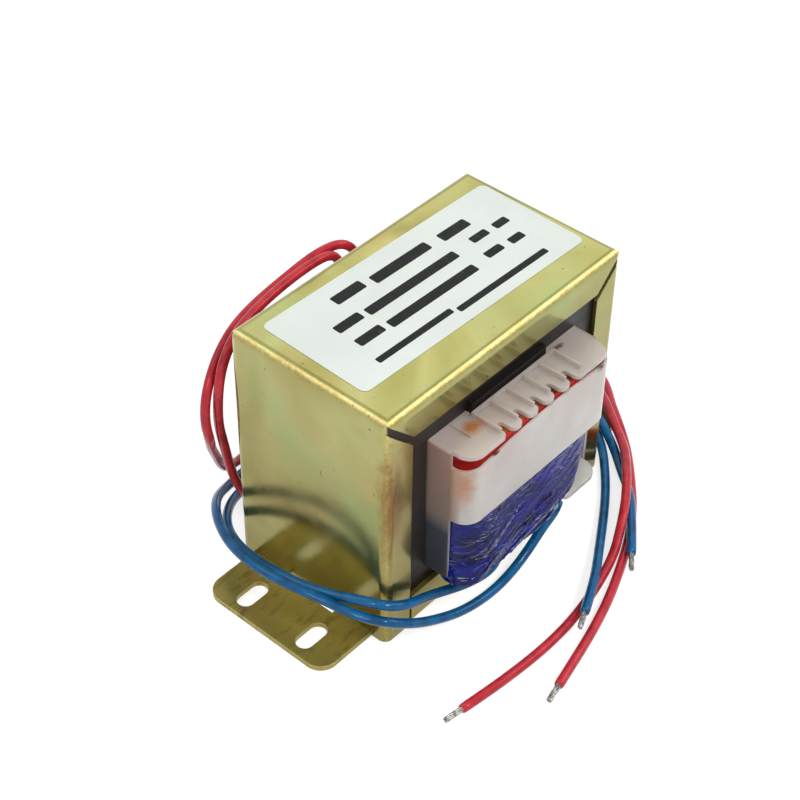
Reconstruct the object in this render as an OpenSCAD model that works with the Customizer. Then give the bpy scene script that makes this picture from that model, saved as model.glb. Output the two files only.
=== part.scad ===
// Laminated chassis transformer: an EI core in a folded steel channel frame with a
// slotted foot plate, a two-section bobbin with a lead comb, and four flexible leads.
// X runs from foot to foot, Y runs through the lamination stack, Z is up.
// The origin is at the bottom centre of the foot plate.

/* [Core] */
// Width of the EI lamination
core_w = 86; // [80:1:96]
// Height of the closed EI lamination
core_h = 72; // [66:1:80]
// Height of each yoke
yoke_h = 14.4; // [12:0.2:17]
// Width of each outer leg
side_leg_w = 14.3; // [12:0.1:16]
// Width of the centre leg
centre_leg_w = 28.7; // [25:0.1:32]
// Thickness of the whole stack
stack_t = 48.5; // [36:0.5:60]
// Thickness of one lamination sheet
sheet_t = 0.5; // [0.35:0.05:0.65]
// Sheets laid the same way before the direction changes
sheets_per_turn = 4; // [2:1:6]
// Wedge sheets driven in at each face of the centre leg
wedge_count = 3; // [2:1:3]
// How far the wedge sheets stand out of the bobbin
wedge_stand = 3.4; // [1:0.2:5]

/* [Channel frame] */
// Thickness of the frame sheet
frame_t = 1.2; // [0.8:0.1:1.6]
// Outer radius of the frame bends
frame_bend_r = 2.4; // [1.8:0.1:3]
// Height of the lip folded down from the top
top_lip_h = 9.3; // [6:0.1:11]
// Width of the lip folded in from each end wall
end_lip_w = 9; // [6:0.1:11]
// Width of the slit between the lips at each corner
corner_slit = 2; // [0.5:0.1:3]
// Width of the clinch tab under each end wall
tab_w = 18; // [10:1:24]

/* [Foot plate] */
// Thickness of the foot plate
foot_t = 1.5; // [1.2:0.1:2]
// Reach of each foot beyond the end wall
foot_reach = 18.3; // [16:0.1:24]
// Width of each foot
foot_w = 41.4; // [36:0.2:46]
// Radius of the corners of the feet
foot_corner_r = 5; // [2:0.5:8]
// Height of the lip folded up along the core
foot_lip_h = 10.5; // [6:0.5:12]
// Outer radius of the foot plate bends
foot_bend_r = 2.5; // [2.2:0.1:3]

/* [Mounting slots] */
// Length of a slot, end to end
slot_l = 9.6; // [7:0.1:11]
// Width of a slot
slot_w = 5; // [3.5:0.1:6]
// Distance of the slot centres from the end wall
slot_inset = 11.2; // [9:0.1:12]
// Spacing of the two slots of a foot
slot_pitch = 20.8; // [14:0.2:26]

/* [Bobbin] */
// Wall of the bobbin tube
tube_wall = 1.2; // [0.8:0.1:1.6]
// Thickness of the flanges
flange_t = 1.2; // [1:0.1:2]
// Reach of the flanges beyond the core face
flange_reach = 12.7; // [11.5:0.1:16]
// Radius of the flange corners
flange_corner_r = 4.5; // [4:0.5:8]
// Height of the underside of the middle flange above the bottom flange
lower_section_h = 19.8; // [15:0.2:23]
// Thickness of the side plates
side_plate_t = 0.9; // [0.7:0.1:1.2]
// Reach of the side plates beyond the core face
side_plate_reach = 7; // [4:0.1:9]
// Depth of the step in the top of the flange beside the core
pad_step = 0.4; // [0.2:0.1:0.8]
// Width of that step
pad_step_w = 7.6; // [3:0.2:9]

/* [Winding covers] */
// Thickness of the covers
cover_wall = 0.7; // [0.6:0.1:1.2]
// How far the covers stand out past the flange edges
cover_proud = 0.3; // [0.1:0.1:0.6]
// Gap between the top flange and the highest point of the covers
cover_gap = 0.7; // [0.3:0.1:1.5]
// Drop of the curved top edge of the covers at its lower end
cover_dip = 2.6; // [1:0.1:4]
// Sideways place of the highest point of that edge
cover_crest_x = 5; // [0:0.5:10]

/* [Lead comb] */
// Number of notches in each comb
notch_count = 5; // [3:1:5]
// Spacing of the notches
notch_pitch = 6.2; // [5.4:0.1:6.4]
// Width of a notch
notch_w = 2.3; // [2:0.1:2.8]
// Depth of a notch from the flange edge
notch_depth = 4.4; // [3:0.1:5]
// Radius of the finger corners
finger_r = 1.5; // [0.5:0.1:1.5]
// Sideways offset of the comb
comb_offset = -0.6; // [-2:0.1:2]
// Height of the comb ribs
rib_h = 1.4; // [0.6:0.1:2]
// Thickness of the comb ribs
rib_t = 0.7; // [0.5:0.1:1]
// Distance from the comb ribs to the flange edge
rib_end_gap = 1.6; // [1.6:0.1:4]

/* [Windings] */
// Gap between the windings and the covers
winding_setback = 0.3; // [0.2:0.1:2]
// Radius of the winding corners
winding_corner_r = 9; // [6:0.5:10]
// Sideways gap between the secondary winding and the flange edge
secondary_side_gap = 2.6; // [0.5:0.1:4]
// Thickness of the tape over each winding
tape_t = 0.5; // [0.2:0.1:1]

/* [Label] */
// Length of the label
label_l = 80; // [40:1:84]
// Width of the label
label_w = 34.4; // [20:0.2:44]
// Radius of the label corners
label_r = 2; // [0.5:0.5:5]
// Thickness of the label
label_t = 0.15; // [0.1:0.05:0.3]
// Turn of the label on the frame, in degrees
label_turn = -1.6; // [-3:0.1:3]

/* [Leads] */
// Diameter of the lead insulation
lead_d = 2.6; // [2:0.1:2.6]
// Diameter of the tinned strands
strand_d = 1.6; // [1:0.1:1.8]
// Length of the bare tinned end
strand_l = 5.5; // [3:0.5:8]

/* [Hidden] */
$fn = 48;

// Clearance between parts that are assembled together
fit = 0.1;
// Varnish film between laminations
film = 0.04;
// Clearance of the bobbin in the core window
bobbin_fit = 0.3;
// Inner radius of the sheet bends
bend_inner_r = 0.3;
// Gap between the foot plate lips and the frame lips
lip_gap = 0.5;
// Overrun of a cut past the surface that it opens
over = 1;

// Core
core_z = foot_t + fit;
window_h = core_h - 2 * yoke_h;
window_z = core_z + yoke_h;
window_x = core_w / 2 - side_leg_w;
turn_count = 2 * round(stack_t / (2 * sheet_t * sheets_per_turn));
turn_t = stack_t / turn_count;

// Channel frame: inner and outer half sizes
frame_xi = core_w / 2 + fit;
frame_xo = frame_xi + frame_t;
frame_yi = stack_t / 2 + fit;
frame_yo = frame_yi + frame_t;
frame_zi = core_z + core_h + fit;
frame_zo = frame_zi + frame_t;

// Foot plate
foot_yo = frame_yi + foot_t;
foot_lip_x = frame_xo - end_lip_w - lip_gap;
// Reach of the clinch tab slots beyond the end wall
tab_slot_out = 2.2;

// Bobbin
wedge_t = wedge_count * sheet_t;
wedge_w = centre_leg_w - 2 * fit;
wedge_step = 0.3;
tube_xi = centre_leg_w / 2 + 2 * fit;
tube_yi = stack_t / 2 + wedge_t + 2 * fit;
tube_xo = tube_xi + tube_wall;
tube_yo = tube_yi + tube_wall;
bobbin_z = window_z + bobbin_fit / 2;
bobbin_top = window_z + window_h - bobbin_fit / 2;
bobbin_x = window_x - bobbin_fit;
side_plate_y = stack_t / 2 + side_plate_reach;
flange_x = bobbin_x - max(cover_wall, side_plate_t) - fit;
flange_y = stack_t / 2 + flange_reach;
middle_z = bobbin_z + flange_t + lower_section_h;
// Ledge between a comb rib and the notch beside it
rib_ledge = 0.45;

// Winding covers
cover_yo = flange_y + cover_proud;
cover_yi = cover_yo - cover_wall;
cover_top = bobbin_top - flange_t - cover_gap;
cover_edge_r = (pow(bobbin_x + cover_crest_x, 2) + pow(cover_dip, 2)) / (2 * cover_dip);

// Windings
winding_x = flange_x - winding_setback;
winding_y = cover_yi - fit - winding_setback;
secondary_x = flange_x - secondary_side_gap;

// Label place on the frame
label_x = 1.2;
label_y = 2;

// Leads: hand-laid routes from the bobbin flange to the free end
lead_sides = 8;
lead_steps = 2;
red_route_a = [
    [5.6, 35.4, 59.5], [5, 35.6, 62.2], [3, 35.9, 64.6], [-0.5, 36.2, 65.6], [-8, 36.5, 65.3],
    [-15, 36.5, 64.6], [-22, 36, 64], [-31, 34.5, 63.4], [-38.5, 32, 62], [-43, 30.5, 57.8],
    [-44.6, 30.3, 51], [-44.5, 31, 44], [-43, 32.5, 37], [-41, 33.3, 29], [-39.5, 33.4, 20],
    [-37.5, 32.5, 11], [-33, 31.5, 4], [-25, 31, 1.3], [-12, 31, 1.3], [8, 31, 1.3],
    [30, 31.5, 1.3], [50, 31.5, 1.3], [62, 26, 1.3], [69.4, 14, 1.3], [70.8, 0, 1.4],
    [66.5, -8.5, 3.4], [60.8, -15.6, 4.8], [57.2, -20, 4.9], [51.5, -28, 4.4], [48.6, -31, 5],
    [44.6, -34.3, 5.6], [40.2, -37.7, 6.2], [36.3, -40.4, 6.4], [32.2, -43.2, 6.3],
    [26.7, -46.3, 5.5], [21.7, -48.7, 3.2], [15.3, -51.6, 1.4], [-8, -57, 1.3], [-30, -56, 1.3],
    [-47.8, -53.4, 1.3]
];
red_route_b = [
    [11.8, 35.4, 59.5], [11, 36, 62.1], [9, 37, 64.2], [5.8, 38.2, 65], [-1, 39.4, 64.5],
    [-10, 39.8, 62.8], [-20, 39.5, 61.8], [-30, 38, 61], [-37.5, 35.7, 59.2], [-43.2, 34, 55],
    [-47.4, 32.5, 48.5], [-48.4, 31.5, 42], [-46.8, 32, 36], [-44, 35.2, 29.5], [-39.8, 38.4, 22],
    [-35.5, 41.6, 13], [-29.5, 45.4, 4.5], [-21, 48.4, 1.3], [-5, 49, 1.3], [14, 49.4, 1.3],
    [34, 49, 1.3], [52, 45, 1.3], [66, 34, 1.3], [74, 18, 1.3], [75.4, 2, 1.3], [71.4, -7.8, 1.6],
    [64.2, -14.6, 2.8], [59.9, -19.8, 3.1], [56.7, -24.2, 2.2], [52.5, -29.3, 1.3],
    [45.1, -35.9, 1.3], [37.7, -42, 1.3], [31.4, -46.3, 1.3], [24.8, -50.1, 1.3],
    [17.9, -53.3, 1.3], [10, -56.6, 1.3], [2.1, -59.5, 1.3], [-8.2, -62.4, 1.3],
    [-16.3, -64.2, 1.3], [-26.3, -66.4, 1.3]
];
blue_route_a = [
    [11.8, -35.4, 15.7], [11.1, -35.2, 13], [9, -34.8, 10.9], [6, -34.7, 9], [1, -34.8, 5.6],
    [-5.3, -35, 2.9], [-14, -35, 1.4], [-24.5, -34.2, 2.6], [-31.8, -32.8, 5],
    [-37.4, -31.6, 7.3], [-42.8, -30.8, 10.9], [-47.9, -28.5, 13.9], [-50.9, -21.5, 13.6],
    [-53.6, -14.6, 15.9], [-56.2, -7.3, 17.2], [-57.9, 0, 17.7], [-58.1, 7.5, 17.4],
    [-56.7, 15.3, 16.3], [-53.9, 22.2, 15.5], [-49.9, 28.6, 14.4], [-45, 33.8, 11.8],
    [-39.8, 38, 7.8], [-34, 41.3, 3.8], [-27.5, 43.6, 1.7], [-12, 44.8, 1.3], [8, 43.5, 1.3],
    [26, 40.2, 1.3], [39.5, 37, 1.9], [49, 31.4, 4.5], [54, 23, 3.8], [55.6, 12, 2.9],
    [55, -2, 2.9], [53.4, -13.5, 2.9], [50.9, -20.1, 3.3], [47, -25, 1.7], [42.1, -29.4, 1.3],
    [32.7, -36.8, 1.3], [12.8, -48.8, 2.8], [5.6, -53.2, 4.5], [-6, -58.6, 5.1]
];
blue_route_b = [
    [-13, -35.4, 15.7], [-13.4, -35.2, 13], [-15, -34.5, 10.5], [-18.2, -33.2, 9],
    [-22.4, -31, 8], [-27.2, -29.1, 8.5], [-33, -28.4, 10.8], [-39.9, -29.4, 14.5],
    [-45.8, -27.3, 16.9], [-48, -21.9, 17], [-50.3, -15.8, 15.9], [-52.7, -9, 15.2],
    [-53.9, -1.5, 14.8], [-54.1, 7, 13.8], [-53.2, 15.3, 12.4], [-50.7, 22.5, 10.9],
    [-46.8, 28.3, 9], [-42, 32.8, 6.7], [-37, 36.3, 4.2], [-31, 38.8, 2.1], [-24, 39.6, 1.3],
    [-14, 39.2, 2], [4, 42.9, 5.1], [19, 46.6, 2.2], [34, 45, 1.3], [48, 39.8, 1.8],
    [57, 30.5, 4.4], [60.3, 20, 3.9], [60.4, 8, 2.9], [59.4, -4, 2.9], [57.3, -12.3, 3.3],
    [54.3, -18.6, 4.8], [51.7, -21.8, 5.1], [50.3, -24.9, 3.6], [49.3, -27.1, 2.3],
    [47.2, -30, 1.6], [43.9, -33.4, 2.3], [39.6, -38.2, 3.6], [35, -43.4, 4.1], [19.2, -54.9, 4]
];

// ---- helpers ----

// Rectangle with round corners
module rounded_rect(w, d, r) {
    square([w - 2 * r, d], center = true);
    square([w, d - 2 * r], center = true);
    for (sx = [-1, 1], sy = [-1, 1]) {
        translate([sx * (w / 2 - r), sy * (d / 2 - r)]) circle(r);
    }
}

// Both faces of the stack, front and rear
module both_faces() {
    for (m = [0, 1]) mirror([0, m, 0]) children();
}

// Both ends of the frame
module both_ends() {
    for (m = [0, 1]) mirror([m, 0, 0]) children();
}

// Extrusion of an XZ outline along Y, from y to y + depth
module along_y(y, depth) {
    translate([0, y + depth, 0]) rotate([90, 0, 0]) linear_extrude(depth) children();
}

// Block with its upright and top edges rounded, standing on z = 0
module bent_block(x, y, z, r) {
    intersection() {
        linear_extrude(z) rounded_rect(2 * x, 2 * y, r);
        along_y(-y, 2 * y) rounded_rect(2 * x, 2 * z, r);
        rotate([0, 0, 90]) along_y(-x, 2 * x) rounded_rect(2 * y, 2 * z, r);
    }
}

// Ring around the bobbin tube
module winding_ring(xi, yi, ri, xo, yo, ro, h) {
    linear_extrude(h) difference() {
        rounded_rect(2 * xo, 2 * yo, ro);
        rounded_rect(2 * xi, 2 * yi, ri);
    }
}

// ---- channel frame ----

// Slit between the top lip and one end lip, cut along the mitre
module corner_slit_cut() {
    reach = max(top_lip_h, end_lip_w) + 2 * over;
    drop = corner_slit * sqrt(2);
    along_y(frame_yi, 2 * frame_t)
        polygon([
            [-frame_xo - over, frame_zo + over],
            [-frame_xo + reach, frame_zo - reach],
            [-frame_xo + reach, frame_zo - reach - drop],
            [-frame_xo - over, frame_zo + over - drop]
        ]);
}

module channel_frame() {
    color([0.72, 0.69, 0.42]) {
        difference() {
            bent_block(frame_xo, frame_yo, frame_zo, frame_bend_r);
            translate([0, 0, -over])
                bent_block(frame_xi, frame_yi, frame_zi + over, bend_inner_r);
            along_y(-2 * frame_yo, 4 * frame_yo)
                translate([end_lip_w - frame_xo, -over])
                square([2 * (frame_xo - end_lip_w), frame_zo - top_lip_h + over]);
            both_faces() both_ends() corner_slit_cut();
            // seat on the foot plate
            cube([4 * frame_xo, foot_w + 2 * fit, 2 * (foot_t + fit)], center = true);
        }
        // clinch tabs, in the slots of the foot plate
        both_ends()
            translate([frame_xi, -tab_w / 2, fit])
            cube([frame_t, tab_w, foot_t + fit]);
    }
}

// ---- foot plate ----

module mounting_slot() {
    straight = slot_l - slot_w;
    translate([-straight / 2, -slot_w / 2, -over]) cube([straight, slot_w, foot_t + 2 * over]);
    for (s = [-1, 1])
        translate([s * straight / 2, 0, -over]) cylinder(d = slot_w, h = foot_t + 2 * over);
}

module foot_plate() {
    color([0.70, 0.66, 0.40])
    difference() {
        union() {
            linear_extrude(foot_t)
                rounded_rect(2 * (frame_xo + foot_reach), foot_w, foot_corner_r);
            translate([-core_w / 2, -stack_t / 2, 0]) cube([core_w, stack_t, foot_t]);
            // upturned lips along the core, with round bends
            rotate([0, 0, 90]) along_y(-foot_lip_x, 2 * foot_lip_x) difference() {
                translate([0, foot_lip_h]) rounded_rect(2 * foot_yo, 2 * foot_lip_h, foot_bend_r);
                translate([0, foot_lip_h + foot_t])
                    rounded_rect(2 * frame_yi, 2 * foot_lip_h, bend_inner_r);
                translate([-2 * foot_yo, foot_lip_h]) square([4 * foot_yo, 2 * foot_lip_h]);
            }
        }
        both_ends() {
            for (s = [-1, 1])
                translate([frame_xo + slot_inset, s * slot_pitch / 2, 0]) mounting_slot();
            // slot for the clinch tab
            translate([frame_xi - fit / 2, -tab_w / 2 - fit, -over])
                cube([frame_t + tab_slot_out, tab_w + 2 * fit, foot_t + 2 * over]);
        }
    }
}

// ---- core ----

// Outline of an E sheet, its back at the bottom
module e_outline() {
    difference() {
        translate([-core_w / 2, 0]) square([core_w, core_h - yoke_h - film]);
        for (s = [-1, 1])
            translate([s * (centre_leg_w / 2 + window_x) / 2, yoke_h + window_h / 2 + over])
            square([window_x - centre_leg_w / 2, window_h + 2 * over], center = true);
    }
}

// One turn of E sheets; odd turns are upside down
module e_turn(i) {
    y = -stack_t / 2 + i * turn_t + film / 2;
    along_y(y, turn_t - film)
        translate([0, core_z + core_h / 2])
        mirror([0, i % 2])
        translate([0, -core_h / 2])
        e_outline();
}

// The I sheets that close one turn
module i_turn(i) {
    y = -stack_t / 2 + i * turn_t + film / 2;
    z = i % 2 == 0 ? core_z + core_h - yoke_h : core_z;
    translate([-core_w / 2, y, z]) cube([core_w, turn_t - film, yoke_h]);
}

module outer_e_laminations() {
    color([0.20, 0.17, 0.15]) for (i = [0, turn_count - 1]) e_turn(i);
}

module outer_i_laminations() {
    color([0.22, 0.19, 0.17]) for (i = [0, turn_count - 1]) i_turn(i);
}

module inner_e_laminations() {
    color([0.20, 0.17, 0.15]) for (i = [1:turn_count - 2]) e_turn(i);
}

module inner_i_laminations() {
    color([0.22, 0.19, 0.17]) for (i = [1:turn_count - 2]) i_turn(i);
}

// Loose sheets that wedge the centre leg in the bobbin tube, stepped at the top
module wedge_sheets() {
    color([0.16, 0.12, 0.10])
    both_faces()
        for (i = [0:wedge_count - 1])
            translate([-wedge_w / 2, stack_t / 2 + fit + i * sheet_t, bobbin_z])
            cube([wedge_w, sheet_t - film, bobbin_top - bobbin_z + wedge_stand - i * wedge_step]);
}

// ---- bobbin ----

// Outline of a flange: full width at the core, narrower where the covers pass
module flange_outline(half_depth) {
    square([2 * bobbin_x, 2 * side_plate_y], center = true);
    rounded_rect(2 * flange_x, 2 * half_depth, flange_corner_r);
}

// One notch of the comb, open at the flange edge, with round finger corners
module notch_outline() {
    end_y = flange_y - notch_depth + notch_w / 2;
    translate([0, end_y]) circle(d = notch_w);
    translate([-notch_w / 2, end_y]) square([notch_w, notch_depth]);
    for (s = [0, 1]) mirror([s, 0])
        translate([notch_w / 2, flange_y - finger_r]) difference() {
            square([finger_r, 2 * finger_r]);
            translate([finger_r, 0]) circle(finger_r);
        }
}

function notch_x(i) = comb_offset + (i - (notch_count - 1) / 2) * notch_pitch;

module comb_flange() {
    linear_extrude(flange_t) difference() {
        flange_outline(flange_y);
        both_faces() for (i = [0:notch_count - 1]) translate([notch_x(i), 0]) notch_outline();
    }
}

// Raised ribs that part the leads before they reach the notches
module comb_ribs() {
    first_x = notch_x(0) - notch_w / 2 - rib_ledge - rib_t;
    translate([first_x, tube_yo - rib_t, 0])
        cube([notch_count * notch_pitch + rib_t, rib_t, rib_h]);
    for (i = [0:notch_count])
        translate([first_x + i * notch_pitch, tube_yo - rib_t, 0])
        cube([rib_t, flange_y - rib_end_gap - tube_yo + rib_t, rib_h]);
}

module bobbin() {
    color([0.88, 0.86, 0.82])
    difference() {
        union() {
            translate([0, 0, bobbin_z]) {
                linear_extrude(bobbin_top - bobbin_z)
                    square([2 * tube_xo, 2 * tube_yo], center = true);
                comb_flange();
            }
            translate([0, 0, middle_z]) linear_extrude(flange_t) flange_outline(cover_yi - fit);
            translate([0, 0, bobbin_top - flange_t]) comb_flange();
            // side plates close the winding space beside the core
            both_ends() translate([bobbin_x - side_plate_t, -side_plate_y, bobbin_z])
                cube([side_plate_t, 2 * side_plate_y, bobbin_top - bobbin_z]);
            translate([0, 0, bobbin_top]) both_faces() comb_ribs();
        }
        // passage for the centre leg
        translate([-tube_xi, -tube_yi, bobbin_z - over])
            cube([2 * tube_xi, 2 * tube_yi, bobbin_top - bobbin_z + 2 * over + rib_h]);
        // lower steps beside the comb
        both_faces() both_ends()
            translate([bobbin_x - pad_step_w, stack_t / 2, bobbin_top - pad_step])
            cube([pad_step_w + over, side_plate_reach - fit, pad_step + over]);
    }
}

// Cover round the upper winding, beyond the side plates, with a curved top edge
module winding_cover() {
    intersection() {
        translate([0, 0, middle_z]) linear_extrude(cover_top - middle_z) difference() {
            rounded_rect(2 * bobbin_x, 2 * cover_yo, flange_corner_r + cover_wall);
            rounded_rect(2 * (bobbin_x - cover_wall), 2 * cover_yi, flange_corner_r);
            translate([-2 * bobbin_x, -2 * cover_yo])
                square([4 * bobbin_x, 2 * cover_yo + side_plate_y + fit]);
        }
        translate([cover_crest_x, 0, cover_top - cover_edge_r]) rotate([-90, 0, 0])
            cylinder(r = cover_edge_r, h = 2 * cover_yo, $fn = 720);
    }
}

module front_cover() {
    color([0.90, 0.88, 0.86]) mirror([0, 1, 0]) winding_cover();
}

module rear_cover() {
    color([0.90, 0.88, 0.86]) winding_cover();
}

// ---- windings ----

// Copper inside the tape of one section
module winding(half_w, z, h) {
    translate([0, 0, z + fit])
        winding_ring(tube_xo + fit, tube_yo + fit, fit,
                     half_w - tape_t - fit, winding_y - tape_t - fit,
                     winding_corner_r - tape_t - fit, h - 2 * fit);
}

// Tape round one section
module winding_tape(half_w, z, h) {
    translate([0, 0, z + fit])
        winding_ring(half_w - tape_t, winding_y - tape_t, winding_corner_r - tape_t,
                     half_w, winding_y, winding_corner_r, h - 2 * fit);
}

upper_z = middle_z + flange_t;
upper_h = bobbin_top - flange_t - upper_z;
lower_z = bobbin_z + flange_t;

module primary_winding() {
    color([0.72, 0.40, 0.20]) winding(winding_x, upper_z, upper_h);
}

module primary_tape() {
    color([0.75, 0.16, 0.15]) winding_tape(winding_x, upper_z, upper_h);
}

module secondary_winding() {
    color([0.72, 0.40, 0.20]) winding(secondary_x, lower_z, lower_section_h);
}

module secondary_tape() {
    color([0.10, 0.13, 0.55]) winding_tape(secondary_x, lower_z, lower_section_h);
}

// ---- label ----

module label() {
    color([0.94, 0.95, 0.95])
    translate([label_x, label_y, frame_zo])
        rotate([0, 0, label_turn])
        linear_extrude(label_t) rounded_rect(label_l, label_w, label_r);
}

// ---- leads ----

function unit(v) = v / norm(v);

// Point of the smooth curve that the route points a to d draw between b and c
function spline_point(a, b, c, d, t) =
    (pow(1 - t, 3) * a + (3 * pow(t, 3) - 6 * t * t + 4) * b
     + (3 * t + 3 * t * t - 3 * pow(t, 3) + 1) * c + pow(t, 3) * d) / 6;

function smooth_path(p) =
    let (n = len(p) - 1, q = concat([2 * p[0] - p[1]], p, [2 * p[n] - p[n - 1]]))
    concat([for (i = [1:n], k = [0:lead_steps - 1])
                spline_point(q[i - 1], q[i], q[i + 1], q[i + 2], k / lead_steps)],
           [p[n]]);

function path_tangents(p) =
    [for (i = [0:len(p) - 1]) unit(p[min(i + 1, len(p) - 1)] - p[max(i - 1, 0)])];

// Normals carried along the path without twist
function carried_normals(t, i, n) =
    i == len(t) ? [] :
    let (m = unit(n - (n * t[i]) * t[i])) concat([m], carried_normals(t, i + 1, m));

function first_normal(t) = unit(cross(t, abs(t.z) > 0.7 ? [1, 0, 0] : [0, 0, 1]));

// Solid tube of diameter d along a path
module tube_along(p, d) {
    t = path_tangents(p);
    n = carried_normals(t, 0, first_normal(t[0]));
    s = lead_sides;
    rings = len(p);
    points = [for (i = [0:rings - 1], k = [0:s - 1])
        p[i] + d / 2 * (cos(360 * k / s) * n[i] + sin(360 * k / s) * cross(t[i], n[i]))];
    sides = [for (i = [0:rings - 2], k = [0:s - 1])
        [i * s + k, (i + 1) * s + k, (i + 1) * s + (k + 1) % s, i * s + (k + 1) % s]];
    caps = [[for (k = [0:s - 1]) k], [for (k = [s - 1:-1:0]) (rings - 1) * s + k]];
    polyhedron(points, concat(sides, caps));
}

// Bare strands that leave the end of a lead in its own direction
module lead_end(route) {
    p = smooth_path(route);
    tip = p[len(p) - 1];
    dir = unit(tip - p[len(p) - 2]);
    color([0.72, 0.72, 0.70]) tube_along([tip, tip + strand_l * dir], strand_d);
}

module red_lead_a() { color([0.80, 0.22, 0.28]) tube_along(smooth_path(red_route_a), lead_d); }
module red_lead_b() { color([0.80, 0.22, 0.28]) tube_along(smooth_path(red_route_b), lead_d); }
module blue_lead_a() { color([0.08, 0.40, 0.68]) tube_along(smooth_path(blue_route_a), lead_d); }
module blue_lead_b() { color([0.08, 0.40, 0.68]) tube_along(smooth_path(blue_route_b), lead_d); }
module red_end_a() { lead_end(red_route_a); }
module red_end_b() { lead_end(red_route_b); }
module blue_end_a() { lead_end(blue_route_a); }
module blue_end_b() { lead_end(blue_route_b); }

channel_frame();
foot_plate();
outer_e_laminations();
outer_i_laminations();
inner_e_laminations();
inner_i_laminations();
wedge_sheets();
bobbin();
front_cover();
rear_cover();
primary_winding();
primary_tape();
secondary_winding();
secondary_tape();
label();
red_lead_a();
red_lead_b();
blue_lead_a();
blue_lead_b();
red_end_a();
red_end_b();
blue_end_a();
blue_end_b();
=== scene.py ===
"""Looks of the laminated chassis transformer: leads, tape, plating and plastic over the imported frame."""

import math

import bpy
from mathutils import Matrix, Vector, noise


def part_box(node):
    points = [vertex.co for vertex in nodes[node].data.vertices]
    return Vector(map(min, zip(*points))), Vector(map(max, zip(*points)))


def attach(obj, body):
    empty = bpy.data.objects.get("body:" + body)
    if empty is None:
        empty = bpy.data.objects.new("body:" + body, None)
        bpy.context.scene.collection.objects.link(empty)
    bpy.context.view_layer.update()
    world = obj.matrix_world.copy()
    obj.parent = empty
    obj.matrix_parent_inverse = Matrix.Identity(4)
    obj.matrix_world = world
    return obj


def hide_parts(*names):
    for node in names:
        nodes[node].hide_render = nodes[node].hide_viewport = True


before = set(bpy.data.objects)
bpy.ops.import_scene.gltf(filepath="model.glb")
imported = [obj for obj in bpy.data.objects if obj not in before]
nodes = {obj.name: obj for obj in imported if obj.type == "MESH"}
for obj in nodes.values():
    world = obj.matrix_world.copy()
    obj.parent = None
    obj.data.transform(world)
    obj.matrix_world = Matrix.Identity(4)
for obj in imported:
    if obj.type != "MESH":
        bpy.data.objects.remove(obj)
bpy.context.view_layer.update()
MM = 0.001
scene = bpy.context.scene
scene.view_settings.view_transform = "Standard"

# ---------------------------------------------------------------- camera

# fitted to the photograph's viewing angle
camera = bpy.data.objects.new("camera", bpy.data.cameras.new("camera"))
scene.collection.objects.link(camera)
camera.data.sensor_width = 36
camera.data.lens = 83.64
camera.data.clip_start = 0.01
camera.location = (-0.27198, -0.22661, 0.36059)
camera.rotation_euler = [math.radians(turn) for turn in (47.62, -0.60, -48.51)]
scene.camera = camera

# ---------------------------------------------------------------- meshes


def new_mesh(name, verts, faces, smooth=True):
    """A mesh piece in row-frame metres."""
    mesh = bpy.data.meshes.new(name)
    mesh.from_pydata([tuple(v) for v in verts], [], faces)
    mesh.update()
    if smooth:
        mesh.polygons.foreach_set("use_smooth", [True] * len(mesh.polygons))
    piece = bpy.data.objects.new(name, mesh)
    scene.collection.objects.link(piece)
    return piece


def smooth_line(points, steps):
    """The smooth curve that part.scad lays along the same route points, in straight steps."""
    p = [Vector(q) for q in points]
    q = [2 * p[0] - p[1]] + p + [2 * p[-1] - p[-2]]
    line = []
    for a, b, c, d in zip(q, q[1:], q[2:], q[3:]):
        for k in range(steps):
            t = k / steps
            line.append(
                ((1 - t) ** 3 * a + (3 * t**3 - 6 * t * t + 4) * b
                 + (3 * t + 3 * t * t - 3 * t**3 + 1) * c + t**3 * d) / 6
            )
    return line + [p[-1]]


def carried_frames(line):
    """Each point with two normals, carried along the line without twist."""
    frames = []
    normal = None
    for i, here in enumerate(line):
        tangent = (line[min(i + 1, len(line) - 1)] - line[max(i - 1, 0)]).normalized()
        if normal is None:
            side = Vector((1, 0, 0)) if abs(tangent.z) > 0.7 else Vector((0, 0, 1))
            normal = tangent.cross(side)
        normal = (normal - tangent * normal.dot(tangent)).normalized()
        frames.append((here, normal, tangent.cross(normal)))
    return frames


def tube(name, line, radius, sides=14, radius_at=None):
    """A closed tube along a line; radius_at(i, angle) can vary it."""
    verts, faces = [], []
    frames = carried_frames(line)
    for i, (here, n, b) in enumerate(frames):
        for k in range(sides):
            angle = 2 * math.pi * k / sides
            r = radius if radius_at is None else radius_at(i, angle)
            verts.append(here + r * (math.cos(angle) * n + math.sin(angle) * b))
    for i in range(len(frames) - 1):
        for k in range(sides):
            j = (k + 1) % sides
            faces.append((i * sides + k, i * sides + j, (i + 1) * sides + j, (i + 1) * sides + k))
    faces.append(tuple(range(sides - 1, -1, -1)))
    faces.append(tuple(range((len(frames) - 1) * sides, len(frames) * sides)))
    return new_mesh(name, verts, faces)


def joined(name, pieces):
    """Several meshes as one piece."""
    verts, faces = [], []
    for piece in pieces:
        start = len(verts)
        verts += [v.co.copy() for v in piece.data.vertices]
        faces += [tuple(start + i for i in f.vertices) for f in piece.data.polygons]
        bpy.data.objects.remove(piece)
    return new_mesh(name, verts, faces)


# ---------------------------------------------------------------- leads

LEAD_D = 2.6 * MM
LEAD_SIDES = 16
LEAD_STEPS = 10
LEAD_UNEVEN = 0.012
LEAD_CUT = 0.10
STRAND_D = 0.52 * MM
STRAND_L = 5.5 * MM
STRAND_ROOT = -2.2 * MM
STRAND_TWIST = 2.6
OUTER_STRANDS = 7
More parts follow.
